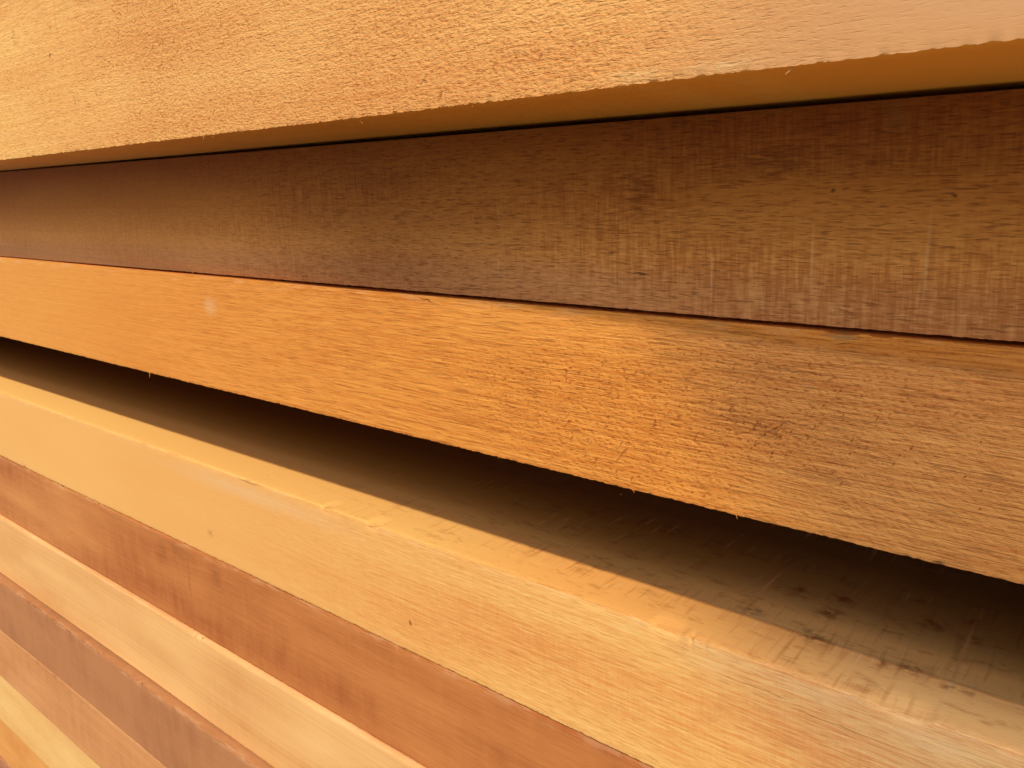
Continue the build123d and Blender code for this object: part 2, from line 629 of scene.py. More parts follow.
# Chips that the photograph shows: board, along, height of the arris, length and depth
named_chips = [
    ("top_row_beam1", 0.8530, 0.5688, 0.0070, 0.0008),
    ("top_row_beam1", 0.8980, 0.5688, 0.0100, 0.0006),
    ("upper_row1_board1", 0.8890, 0.5191, 0.0080, 0.0006),
    ("upper_row1_board1", 0.8970, 0.5191, 0.0050, 0.0005),
    ("lower_row8_board1", 0.6789, 0.4190, 0.0080, 0.0008),
    ("lower_row8_board1", 0.7089, 0.4190, 0.0090, 0.0009),
    ("lower_row8_board1", 0.8420, 0.4190, 0.0120, 0.0010),
    ("lower_row8_board1", 0.9080, 0.4190, 0.0160, 0.0010),
]
chips_by_chance = (0.2, 0.5)  # the least and the most chips of a hidden board
smooth_up_to = 35  # degrees between two faces


def make_board(name, blank, values):
    """One sawn board or beam in the place of a solid of the frame."""
    bpy.ops.object.select_all(action="DESELECT")
    piece = bpy.data.objects.new(f"sawn_{name}", blank.data.copy())
    bpy.context.collection.objects.link(piece)
    piece.select_set(True)
    roughen(piece, values)
    pull_to_board(piece, name)
    for board, *chip in named_chips:
        if board == name:
            break_chip(piece, *chip)
    bpy.ops.object.select_all(action="DESELECT")
    piece.select_set(True)
    bpy.context.view_layer.objects.active = piece
    bpy.ops.object.shade_smooth_by_angle(angle=radians(smooth_up_to))
    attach(piece, "root")
    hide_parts(name)
    return piece


seeds = {}
boards = {}
for name in sorted(timber):
    seeds[name] = chance.uniform(-seed_spread, seed_spread)
    if name.startswith("bearer"):
        continue
    values = {"Seed": seeds[name], "Chip share": chance.uniform(*chips_by_chance)}
    values.update(front_forms.get(name, {}))
    blank = plain_blank
    if name[-1] == "1" and name != "lower_row1_board1":
        near_camera = name.startswith(("top", "upper", "lower_row8"))
        blank = upper_blank if near_camera else lower_blank
    boards[name] = make_board(name, blank, values)
for blank in (upper_blank, lower_blank, plain_blank):
    bpy.data.objects.remove(blank)
triangles = sum(len(p.vertices) - 2 for b in boards.values() for p in b.data.polygons)
print(f"{len(boards)} boards, {triangles} triangles")

# %% [markdown]
# Wood has a grain because a tree grows in rings round its pith. A board is a straight
# cut through those rings, so its faces show long lines and its ends show arcs. Both
# come out of one sum here: the distance from a pith that lies somewhere outside the
# board, read through a noise so that no two rings are equally wide.

# %% Growth rings
def make_growth_rings():
    """Puts out Ring: 0 in the soft early wood and 1 in the dense late wood."""
    inputs = [
        ("Place", "Vector", None),
        ("Pith across", "Float", 0.0),
        ("Pith up", "Float", -0.09),
        ("Ring width", "Float", 0.001),
        ("Wander", "Float", 0.008),
    ]
    tree, given = start_group("growth_rings", "ShaderNodeTree", inputs, [("Ring", "Float")])
    slow = noise(tree, given["Place"], (0.30, 0.05, 0.05), detail=1.0)
    wander = maths(tree, "MULTIPLY", maths(tree, "SUBTRACT", slow, 0.5), given["Wander"])
    parts = add_node(tree, "ShaderNodeSeparateXYZ", {0: given["Place"]}).outputs
    across = maths(tree, "SUBTRACT", parts["Y"], given["Pith across"])
    up = maths(tree, "SUBTRACT", parts["Z"], given["Pith up"])
    squares = maths(tree, "ADD", maths(tree, "MULTIPLY", across, across),
                    maths(tree, "MULTIPLY", up, up))
    radius = maths(tree, "ADD", maths(tree, "SQRT", squares), wander)
    count = maths(tree, "DIVIDE", radius, given["Ring width"])
    rings = add_node(tree, "ShaderNodeTexNoise", {"W": count, "Scale": 1.0, "Detail": 2.0},
                     noise_dimensions="1D").outputs[0]
    end_group(tree, {"Ring": soft_step(tree, rings, 0.30, 0.70)})
    return tree


growth_rings = make_growth_rings()
print(f"{growth_rings.name}: {len(growth_rings.nodes)} nodes")

# %% [markdown]
# Between the rings run the fibres. They are streaks many times longer than they are
# wide, and the saw cuts some open into short dark grooves. Noise that is stretched
# along the board makes both, and also gives their relief.

# %% Fibres
def make_fibres():
    """Puts out Streak (about 0.5, with light and dark lines), Dash and their height."""
    inputs = [
        ("Place", "Vector", None),
        ("Length", "Float", 0.010),
        ("Width", "Float", 0.0005),
    ]
    outputs = [("Streak", "Float"), ("Dash", "Float"), ("Height", "Float")]
    tree, given = start_group("fibres", "ShaderNodeTree", inputs, outputs)
    size = add_node(
        tree, "ShaderNodeCombineXYZ",
        {"X": given["Length"], "Y": given["Width"], "Z": given["Width"]},
    ).outputs[0]
    streak = noise(tree, given["Place"], size, detail=2.0, roughness=0.6, distortion=0.25)
    dash_size = vector_maths(tree, "MULTIPLY", size, (0.9, 0.75, 0.75))
    dashes = noise(tree, given["Place"], dash_size, detail=1.0, roughness=0.5)
    dash = soft_step(tree, dashes, 0.58, 0.70)
    height = maths(tree, "SUBTRACT", maths(tree, "MULTIPLY", streak, 0.4),
                   maths(tree, "MULTIPLY", dash, 0.2))
    height = maths(tree, "MULTIPLY", height, given["Width"])
    end_group(tree, {"Streak": streak, "Dash": dash, "Height": height})
    return tree


fibres = make_fibres()
print(f"{fibres.name}: {len(fibres.nodes)} nodes")

# %% [markdown]
# A bandsaw blade leaves a fine ridge each time a tooth that stands out passes. The
# ridges run across the board, leaning a little because the board moves on while the
# blade comes down. They come in groups, some deep and some hardly to be seen. The same
# group, with a wide spacing, makes the soft smears that damp leaves across a board.

# %% Saw marks
saw_depth = 0.00025


def make_saw_marks():
    """Puts out Mark, from about -0.5 in a groove to 0.5 on a ridge, and its height."""
    inputs = [
        ("Place", "Vector", None),
        ("Patches", "Float", 0.5),
        ("Spacing", "Float", 0.0007),
        ("Length", "Float", 0.012),
        ("Lean", "Float", 0.05),
    ]
    outputs = [("Mark", "Float"), ("Height", "Float")]
    tree, given = start_group("saw_marks", "ShaderNodeTree", inputs, outputs)
    parts = add_node(tree, "ShaderNodeSeparateXYZ", {0: given["Place"]}).outputs
    off_axis = maths(tree, "ADD", parts["Y"], parts["Z"])
    leaned = maths(tree, "MULTIPLY_ADD", off_axis, given["Lean"], parts["X"])
    place = add_node(
        tree, "ShaderNodeCombineXYZ", {"X": leaned, "Y": parts["Y"], "Z": parts["Z"]}
    ).outputs[0]
    size = add_node(
        tree, "ShaderNodeCombineXYZ",
        {"X": given["Spacing"], "Y": given["Length"], "Z": given["Length"]},
    ).outputs[0]
    fine = noise(tree, place, size, detail=2.0, roughness=0.7)
    strength = maths(tree, "ADD", soft_step(tree, given["Patches"], 0.35, 0.65), 0.3)
    mark = maths(tree, "MULTIPLY", maths(tree, "SUBTRACT", fine, 0.5), strength)
    height = maths(tree, "MULTIPLY", mark, saw_depth)
    end_group(tree, {"Mark": mark, "Height": height})
    return tree


saw_marks = make_saw_marks()
print(f"{saw_marks.name}: {len(saw_marks.nodes)} nodes")

# %% [markdown]
# Sawn wood is woolly: cut fibres stand up from the face in tufts, and raking light
# gives each tuft a bright side and a small shadow. The tufts are relief. A bump throws
# no shadow, so the same noise is read a second time a little nearer to the lamp: where
# there is a tuft on that side and none here, the face is darker. Longer strokes are the
# shadows of single fibres that stand out further. In places the saw tore the grain
# out, and left a ragged hollow.

# %% Wool and torn grain
shadow_lean = 56  # degrees from the boards, as the lamp throws a shadow on the front
shadow_reach = 0.0006  # how much nearer to the lamp the noise is read again
shadow_step = Vector((to_lamp.x, 0, to_lamp.z)).normalized() * shadow_reach
stroke_size = (0.0034, 0.004, 0.0011)
tear_size = (0.030, 0.006, 0.006)
rag_size = (0.005, 0.0009, 0.0009)
tear_depth = 0.0010


def make_wool():
    """Puts out Shadow and Stroke, painted shadows of tufts and fibres, and the tufts' height."""
    inputs = [
        ("Place", "Vector", None),
        ("Length", "Float", 0.0020),
        ("Width", "Float", 0.0009),
    ]
    outputs = [("Shadow", "Float"), ("Stroke", "Float"), ("Height", "Float")]
    tree, given = start_group("wool", "ShaderNodeTree", inputs, outputs)
    size = add_node(
        tree, "ShaderNodeCombineXYZ",
        {"X": given["Length"], "Y": given["Width"], "Z": given["Width"]},
    ).outputs[0]
    tufts = noise(tree, given["Place"], size, detail=2.0, roughness=0.65)
    nearer = vector_maths(tree, "ADD", given["Place"], shadow_step)
    towards_lamp = noise(tree, nearer, size, detail=2.0, roughness=0.65)
    shadow = soft_step(tree, maths(tree, "SUBTRACT", towards_lamp, tufts), 0.06, 0.26)
    turned = add_node(
        tree, "ShaderNodeMapping",
        {"Vector": given["Place"], "Rotation": (0, radians(shadow_lean), 0)},
    ).outputs[0]
    strokes = noise(tree, turned, stroke_size, detail=1.0)
    end_group(tree, {
        "Shadow": shadow,
        "Stroke": soft_step(tree, strokes, 0.64, 0.80),
        "Height": product(tree, tufts, given["Width"], 0.9),
    })
    return tree


def make_torn_grain():
    """Puts out Torn, 1 where grain was ripped out, and its ragged height."""
    inputs = [("Place", "Vector", None), ("Share", "Float", 0.3)]
    outputs = [("Torn", "Float"), ("Height", "Float")]
    tree, given = start_group("torn_grain", "ShaderNodeTree", inputs, outputs)
    blotches = noise(tree, given["Place"], tear_size, detail=3.0, roughness=0.6)
    level = maths(tree, "SUBTRACT", 0.80, maths(tree, "MULTIPLY", given["Share"], 0.25))
    torn = soft_step(tree, maths(tree, "SUBTRACT", blotches, level), 0.0, 0.06)
    rags = noise(tree, given["Place"], rag_size, detail=2.0, roughness=0.6)
    height = product(tree, torn, rags, -tear_depth)
    end_group(tree, {"Torn": torn, "Height": height})
    return tree


wool = make_wool()
torn_grain = make_torn_grain()
for group in (wool, torn_grain):
    print(f"{group.name}: {len(group.nodes)} nodes")

# %% [markdown]
# Some marks are where the photograph shows them: a crack, a scratch, a pit, a stain.
# Each is a long soft spot of its own size, place and lean. A Mapping node of the kind
# Texture moves, turns and stretches the place so that the spot becomes a ball of
# radius one, and the distance from its middle is then all that has to be measured.

# %% Spots
def make_spot():
    """Puts out Mask: 1 in the middle of a stretched spot and 0 outside it."""
    inputs = [
        ("Place", "Vector", None),
        ("Middle", "Vector", None),
        ("Turn", "Vector", None),
        ("Half size", "Vector", None),
        ("Hardness", "Float", 0.2),
    ]
    tree, given = start_group("spot", "ShaderNodeTree", inputs, [("Mask", "Float")])
    local = add_node(
        tree, "ShaderNodeMapping",
        {
            "Vector": given["Place"],
            "Location": given["Middle"],
            "Rotation": given["Turn"],
            "Scale": given["Half size"],
        },
        vector_type="TEXTURE",
    ).outputs[0]
    radius = add_node(tree, "ShaderNodeVectorMath", {0: local}, operation="LENGTH")
    mask = soft_step(tree, radius.outputs["Value"], 1.0, given["Hardness"])
    end_group(tree, {"Mask": mask})
    return tree


spot = make_spot()
print(f"{spot.name}: {len(spot.nodes)} nodes")

# %% [markdown]
# Every board gets a material of its own, made by one function, because no two boards
# were cut from one log. A finish is a light tone, a dark tone and how strongly each
# group works on it. Wool and torn grain are left out where their strength is nought,
# which saves time in the render.

# %% The finishes
plain_finish = {
    "light": tone(240, 186, 118),
    "dark": tone(202, 140, 76),
    "groove": tone(120, 66, 26),
    "rings": 0.35,
    "ring_width": 0.0012,
    "streaks": 1.0,
    "streak_length": 0.014,
    "streak_width": 0.0007,
    "dashes": 0.4,
    "saw": 0.3,
    "saw_spacing": 0.0008,
    "saw_length": 0.012,
    "wool": 0.0,  # with wool goes where it is thickest: wool_middle and wool_half
    "wool_size": (0.0018, 0.0008),
    "torn": 0.3,
    "clouds": 0.5,
    "calm": None,  # where the surface is smoother: from, to and by how much
    "scuffs": 0.12,  # pale rubbed places beside the upper arris
    "ticks": 0.2,  # dark splits right at the upper arris
    "seam": 0.35,  # darker along the lower arris
    "relief": 1.0,
}

slot_finishes = {
    "golden_wood": {},
    "orange_wood": {"light": tone(240, 168, 94), "dark": tone(203, 124, 60)},
    "pale_wood": {"light": tone(248, 205, 142), "dark": tone(212, 158, 96)},
    "red_brown_wood": {"light": tone(213, 145, 97), "dark": tone(164, 97, 58)},
    "dark_brown_wood": {"light": tone(187, 130, 86), "dark": tone(128, 79, 49)},
    "bearer_wood": {"light": tone(206, 160, 108), "dark": tone(160, 112, 66)},
}

# The boards of the front, by name, where the photograph shows what they are like
front_finishes = {
    "top_row_beam1": {
        "light": tone(255, 192, 112), "dark": tone(222, 138, 68), "wool": 0.8, "saw": 0.15,
        "groove": tone(176, 98, 40), "wool_middle": (0.76, 0.60), "wool_half": (0.17, 0.14),
        "wool_size": (0.0011, 0.00062), "calm": (0.915, 0.84, 0.85), "rings": 0.2,
        "streaks": 0.45, "streak_length": 0.0035, "streak_width": 0.0006, "dashes": 0.15,
        "clouds": 0.35, "torn": 0.0, "seam": 0.0,
    },
    "upper_row2_board1": {
        "light": tone(247, 173, 90), "dark": tone(206, 128, 58), "saw": 0.85, "torn": 0.0,
        "groove": tone(150, 88, 40), "saw_spacing": 0.0013, "calm": (0.58, 0.76, 0.6),
        "streak_length": 0.004, "streak_width": 0.0005, "dashes": 0.6, "rings": 0.2,
        "clouds": 0.7, "relief": 0.6, "seam": 0.0,
    },
    "upper_row1_board1": {
        "light": tone(255, 172, 77), "dark": tone(210, 118, 40), "wool": 0.65,
        "groove": tone(158, 84, 30), "wool_middle": (0.86, 0.490), "wool_half": (0.11, 0.042),
        "calm": (0.50, 0.76, 0.7), "rings": 0.3, "ring_width": 0.0008, "streaks": 0.7,
        "streak_length": 0.011, "streak_width": 0.00042, "dashes": 0.45, "saw": 0.1,
        "torn": 0.0, "clouds": 0.3, "scuffs": 0.1, "ticks": 0.5,
    },
    "lower_row8_board1": {
        "light": tone(255, 198, 114), "dark": tone(233, 151, 77), "saw": 0.2, "torn": 0.0,
        "groove": tone(176, 104, 46), "streaks": 0.9, "streak_length": 0.007,
        "streak_width": 0.0004, "clouds": 0.6, "dashes": 0.3, "calm": (0.55, 0.84, 0.85),
        "ticks": 0.6, "relief": 0.6,
    },
    "lower_row7_board1": {
        "light": tone(215, 136, 71), "dark": tone(171, 91, 42), "streaks": 0.3,
        "dashes": 0.0, "rings": 0.1, "clouds": 0.6, "torn": 0.0, "relief": 0.3,
        "saw": 0.3, "saw_spacing": 0.008, "saw_length": 0.03, "ticks": 0.9,
    },
    "lower_row6_board1": {
        "light": tone(254, 198, 126), "dark": tone(224, 154, 88), "streaks": 0.1,
        "dashes": 0.0, "rings": 0.15, "torn": 0.0, "relief": 0.15, "clouds": 0.55,
        "saw": 0.12, "saw_spacing": 0.006, "saw_length": 0.02,
    },
    "lower_row5_board1": {
        "light": tone(199, 133, 82), "dark": tone(174, 111, 68), "streaks": 0.3,
        "dashes": 0.0, "rings": 0.15, "torn": 0.0, "relief": 0.3, "clouds": 0.5,
        "saw": 0.55, "saw_spacing": 0.010, "saw_length": 0.05, "ticks": 0.8,
    },
    "lower_row4_board1": {
        "light": tone(230, 163, 102), "dark": tone(198, 125, 70), "streaks": 0.3,
        "dashes": 0.0, "rings": 0.15, "torn": 0.0, "relief": 0.3,
        "saw": 0.3, "saw_spacing": 0.008, "saw_length": 0.03,
    },
    "lower_row3_board1": {
        "light": tone(255, 208, 132), "dark": tone(234, 168, 94), "streaks": 0.3,
        "dashes": 0.1, "torn": 0.0, "relief": 0.3,
    },
    "lower_row2_board1": {
        "light": tone(250, 180, 98), "dark": tone(220, 142, 68), "streaks": 0.3,
        "dashes": 0.1, "torn": 0.0, "relief": 0.3,
    },
}
print(f"{len(front_finishes)} boards of the front have a finish of their own")

# %% [markdown]
# A board's material is built by a few functions, one for each thing that happens to the
# board. All of them need to know where a point lies, so that comes first: its place in
# the frame, its place on the board itself, and the way its face looks. A Mapping node
# turns the grain to lie along the board and slides it along by the board's seed, so
# that no two boards are alike. One slow noise, the patches, says where the surface is
# rough and where it is smooth, and every group that needs such patches shares it.

# %% Find the place on a board
patch_size = (0.08, 0.018, 0.018)


def use_group(tree, group, **values):
    """Places a node group, with its sockets by name, where _ stands for a space."""
    node = tree.nodes.new("ShaderNodeGroup")
    node.node_tree = group
    for name, value in values.items():
        socket = node.inputs[name.replace("_", " ")]
        if isinstance(value, bpy.types.NodeSocket):
            tree.links.new(value, socket)
        else:
            socket.default_value = value
    return node.outputs


def find_place(tree, middle, turn, seed):
    """Places in the frame and on the board, patches, and masks by the way a face looks."""
    where = add_node(tree, "ShaderNodeTexCoord").outputs
    along, depth, rise = add_node(tree, "ShaderNodeSeparateXYZ", {0: where["Object"]}).outputs
    facing = add_node(tree, "ShaderNodeSeparateXYZ", {0: where["Normal"]}).outputs
    centred = vector_maths(tree, "SUBTRACT", where["Object"], middle)
    on_board = add_node(
        tree, "ShaderNodeMapping",
        {"Vector": centred, "Location": (seed, 0, 0), "Rotation": (0, 0, turn)},
    ).outputs[0]
    return {
        "frame": where["Object"],
        "along": along,
        "depth": depth,
        "rise": rise,
        "board": on_board,
        "level": add_node(tree, "ShaderNodeSeparateXYZ", {0: centred}).outputs["Z"],
        "patches": noise(tree, on_board, patch_size, detail=1.0),
        "upward": soft_step(tree, facing["Z"], 0.5, 0.9),
        "not_under": soft_step(tree, facing["Z"], -0.9, -0.6),
        "under": soft_step(tree, facing["Z"], -0.6, -0.9),
        "on_end": soft_step(tree, maths(tree, "ABSOLUTE", facing["X"]), 0.6, 0.8),
    }


# %% [markdown]
# Then comes the wood itself. Each group moves the tone towards the light or the dark
# one, fills grooves, or raises the surface. Wool is thickest in one part of a board and
# thins out round it.

# %% Mix the wood
through = 10.0  # half a spot's size right through the board, far more than is needed
wool_elsewhere = 0.25  # of the wool, away from the part where it is thickest
saw_in_relief = 0.25  # saw marks stronger than this are relief too


def add_wool(tree, finish, at, share, groove_and_shadow, height):
    """Tufts and lifted fibres, with their shadows."""
    wool_along, wool_up = finish["wool_middle"]
    half_along, half_up = finish["wool_half"]
    thickest = use_group(tree, spot, Place=at["frame"], Hardness=0.4,
                         Middle=(wool_along, 0, wool_up),
                         Half_size=(half_along, through, half_up))["Mask"]
    raised = maths(tree, "MULTIPLY_ADD", thickest, (1 - wool_elsewhere) * finish["wool"],
                   wool_elsewhere * finish["wool"])
    rough = maths(tree, "ADD", 0.5, soft_step(tree, at["patches"], 0.35, 0.65))
    woolly = product(tree, raised, rough)
    tuft_length, tuft_width = finish["wool_size"]
    tufts = use_group(tree, wool, Place=at["board"], Length=tuft_length, Width=tuft_width)
    share = maths(tree, "ADD", product(tree, tufts["Shadow"], woolly, 0.9), share)
    groove_and_shadow = maths(tree, "MAXIMUM", groove_and_shadow, product(tree, tufts["Stroke"], woolly, 0.7))
    height = maths(tree, "ADD", maths(tree, "MULTIPLY", tufts["Height"], raised), height)
    return share, groove_and_shadow, height


def mix_wood(tree, finish, at, pith):
    """The share of the dark tone, of grooves and painted fibre shadows, the height, and the
    streaks.
    """
    place, patches = at["board"], at["patches"]
    share = maths(tree, "MULTIPLY_ADD", maths(tree, "SUBTRACT", patches, 0.5),
                  finish["clouds"] * 2, 0.5)
    ring = use_group(tree, growth_rings, Place=place, Pith_across=pith[0], Pith_up=pith[1],
                     Ring_width=finish["ring_width"])["Ring"]
    share = maths(tree, "MULTIPLY_ADD", maths(tree, "SUBTRACT", ring, 0.5), finish["rings"], share)
    fibre = use_group(tree, fibres, Place=place, Length=finish["streak_length"],
                      Width=finish["streak_width"])
    streak = maths(tree, "SUBTRACT", fibre["Streak"], 0.5)
    share = maths(tree, "MULTIPLY_ADD", streak, finish["streaks"] * 2, share)
    groove_and_shadow = maths(tree, "MULTIPLY", fibre["Dash"], finish["dashes"])
    height = fibre["Height"]
    saw = use_group(tree, saw_marks, Place=place, Patches=patches,
                    Spacing=finish["saw_spacing"], Length=finish["saw_length"])
    share = maths(tree, "MULTIPLY_ADD", saw["Mark"], -2 * finish["saw"], share)
    if finish["saw"] > saw_in_relief:
        height = maths(tree, "MULTIPLY_ADD", saw["Height"], finish["saw"], height)
    if finish["wool"]:
        share, groove_and_shadow, height = add_wool(tree, finish, at, share, groove_and_shadow, height)
    if finish["calm"]:
        start, end, most = finish["calm"]
        lively = maths(tree, "MULTIPLY_ADD", soft_step(tree, at["along"], end, start), -most, 1.0)
        share = maths(tree, "MULTIPLY_ADD", maths(tree, "SUBTRACT", share, 0.5), lively, 0.5)
        groove_and_shadow = maths(tree, "MULTIPLY", groove_and_shadow, lively)
        height = maths(tree, "MULTIPLY", height, lively)
    share = maths(tree, "MAXIMUM", maths(tree, "MINIMUM", share, 1.0), 0.0)
    return share, groove_and_shadow, height, fibre["Streak"]


# %% [markdown]
# Handling rubs a board pale beside its upper arris and splits it dark right on it, and
# the colour is darker along the lower one. How near the arris is was stored on the mesh
# by the group that tore it, and an Attribute node reads it here.

# %% Wear the arrises
rubbed_tone = tone(255, 218, 168)
seam_tone = (0.50, 0.40, 0.32, 1.0)
rub_size = (0.014, 0.003, 0.003)
split_size = (0.007, 0.0012, 0.0012)


def add_arris_wear(tree, colour, finish, at):
    """Rubs the upper arris pale beside it, splits it dark, and darkens the lower one."""
    near = add_node(tree, "ShaderNodeAttribute", attribute_name="arris").outputs["Fac"]
    on_upper = soft_step(tree, at["level"], 0.0, 0.005)
    rubbed = soft_step(tree, noise(tree, at["board"], rub_size, 2.0, 0.6), 0.48, 0.62)
    scuffed = product(tree, on_upper, soft_step(tree, near, 0.2, 0.8), rubbed, finish["scuffs"])
    colour = mix_colour(tree, scuffed, colour, rubbed_tone)
    split = soft_step(tree, noise(tree, at["board"], split_size, 2.0, 0.6), 0.47, 0.58)
    ticked = product(tree, on_upper, soft_step(tree, near, 0.86, 0.97), split, finish["ticks"])
    colour = mix_colour(tree, ticked, colour, finish["groove"])
    on_lower = soft_step(tree, at["level"], 0.0, -0.005)
    darker_below = product(tree, on_lower, soft_step(tree, near, 0.75, 1.0), finish["seam"])
    return mix_colour(tree, darker_below, colour, seam_tone, blend="MULTIPLY")


# %% [markdown]
# The gap lays one board's top open. The lamp lights its front strip. Behind the strip, in
# the shadow of the board above, the top is greyer, with painted shade that darkens it the
# deeper it lies in the gap, and on the right it is paler near the shadow's edge, which is
# painted light. On the right the strip has painted shade too, darker towards that edge.
# A ColorRamp node holds a row of colours: here by how far back a point lies, measured
# across the stack, and by how far along. Cross cuts of the saw hold dirt or show fresh
# wood, and damp left blots.

# %% Colour the open top, with its painted shade
open_tops = ["lower_row8_board1"]
shade_starts = -0.2842  # across the stack, where the shadow of the board above starts
shade_start_width = 0.0015
strip_colour = tone(255, 198, 106)
strip_colour_share = 0.8  # how much of the top's colour that tone replaces
# Painted shade behind the strip, by how far back: darker the deeper in the gap. On the right it is
# paler near the shadow's edge, which is painted light.
left_gap_shade_tones = [
    (-0.284, 0.78, 0.54, 0.180),
    (-0.274, 0.68, 0.50, 0.165),
    (-0.266, 0.48, 0.33, 0.090),
    (-0.256, 0.34, 0.23, 0.052),
    (-0.240, 0.22, 0.12, 0.014),
    (-0.220, 0.15, 0.06, 0.001),
]
right_gap_shade_tones = [
    (-0.284, 1.00, 0.74, 0.285),
    (-0.274, 0.98, 0.71, 0.265),
    (-0.266, 0.65, 0.48, 0.170),
    (-0.256, 0.38, 0.26, 0.080),
    (-0.240, 0.25, 0.15, 0.030),
    (-0.220, 0.15, 0.07, 0.001),
]
right_starts = (0.80, 0.89)

# What the strip is multiplied with: by how far back on the right, painted shade that
# darkens it towards the shadow's edge, and by how far along, for stains
strip_shade_tones = [
    (-0.306, 1.00, 1.00, 1.00),
    (-0.298, 0.86, 0.90, 0.90),
    (-0.292, 0.76, 0.77, 0.75),
    (-0.2862, 0.62, 0.60, 0.56),
    (-0.2845, 0.70, 0.67, 0.64),
    (-0.2835, 0.82, 0.80, 0.78),
    (-0.2824, 1.00, 1.00, 1.00),
    (-0.220, 1.00, 1.00, 1.00),
]
strip_stains = [
    (0.74, 1.00, 1.00, 1.00),
    (0.80, 1.00, 0.87, 0.79),
    (0.87, 1.00, 0.86, 0.80),
    (0.91, 1.00, 0.94, 0.98),
]
cuts_show = (0.60, 0.78)  # along the board, from nowhere to everywhere
dark_cut_tone = (0.58, 0.42, 0.30, 1.0)
pale_cut_tone = tone(232, 196, 142)
blot_tone = (0.52, 0.34, 0.21, 1.0)
top_blot_size = (0.010, 0.004, 0.004)


def behind_lit_strip(tree, at):
    """1 on the part of a top behind the lit strip, in the shadow of the board above."""
    behind = soft_step(tree, at["depth"], shade_starts, shade_starts + shade_start_width)
    return product(tree, at["upward"], behind)


def add_top(tree, colour, at):
    """Colours the strip, paints shade on and behind it, then cuts and blots the open top."""
    upward = at["upward"]
    to_right = soft_step(tree, at["along"], *right_starts)
    colour = mix_colour(tree, product(tree, upward, strip_colour_share), colour, strip_colour)
    stained = ramp(tree, at["along"], strip_stains)
    colour = mix_colour(tree, upward, colour, stained, blend="MULTIPLY")
    gap_shade = mix_colour(tree, to_right, ramp(tree, at["depth"], left_gap_shade_tones),
                      ramp(tree, at["depth"], right_gap_shade_tones))
    colour = mix_colour(tree, behind_lit_strip(tree, at), colour, gap_shade)
    # painted shade on the right-hand part of the strip
    strip_shade = ramp(tree, at["depth"], strip_shade_tones)
    colour = mix_colour(tree, product(tree, to_right, upward), colour, strip_shade, blend="MULTIPLY")

    shown = product(tree, upward, soft_step(tree, at["along"], *cuts_show))
    cuts = use_group(tree, saw_marks, Place=at["board"], Patches=at["patches"],
                     Spacing=0.0022, Length=0.030, Lean=-0.06)["Mark"]
    dark_cut = product(tree, soft_step(tree, cuts, 0.02, 0.30), shown, 0.5)
    pale_cut = product(tree, soft_step(tree, cuts, -0.10, -0.35), shown, 0.3)
    blots = noise(tree, at["board"], top_blot_size, detail=4.0, roughness=0.7)
    blots = product(tree, soft_step(tree, blots, 0.52, 0.72), shown, 0.5)
    colour = mix_colour(tree, dark_cut, colour, dark_cut_tone, blend="MULTIPLY")
    colour = mix_colour(tree, blots, colour, blot_tone, blend="MULTIPLY")
    return mix_colour(tree, pale_cut, colour, pale_cut_tone)


# %% [markdown]
# The marks of the front boards are listed by board. The places are metres in the
# frame: along the board and up on its face, or along and across on its top.

# %% The marks
# Each kind: its tone, how much of it shows and how hard its edge is
mark_kinds = {
    "crack": (tone(84, 40, 12), 0.75, 0.3),
    "line": (tone(140, 78, 30), 0.5, 0.2),
    "scratch": (tone(255, 214, 150), 0.3, 0.0),
    "pit": (tone(80, 40, 14), 0.7, 0.3),
    "stain": (tone(108, 52, 14), 0.75, 0.0),
    "smear": (tone(140, 76, 34), 0.45, 0.0),
    # painted shadows of single raised fibres
    "stroke": (tone(136, 72, 24), 0.65, 0.1),
    "pale": (tone(240, 200, 150), 0.35, 0.0),
    "grey": (tone(150, 130, 88), 0.55, 0.0),
    "worn": (tone(255, 208, 134), 0.6, 0.0),
    "cut": (tone(226, 184, 128), 0.55, 0.1),
}

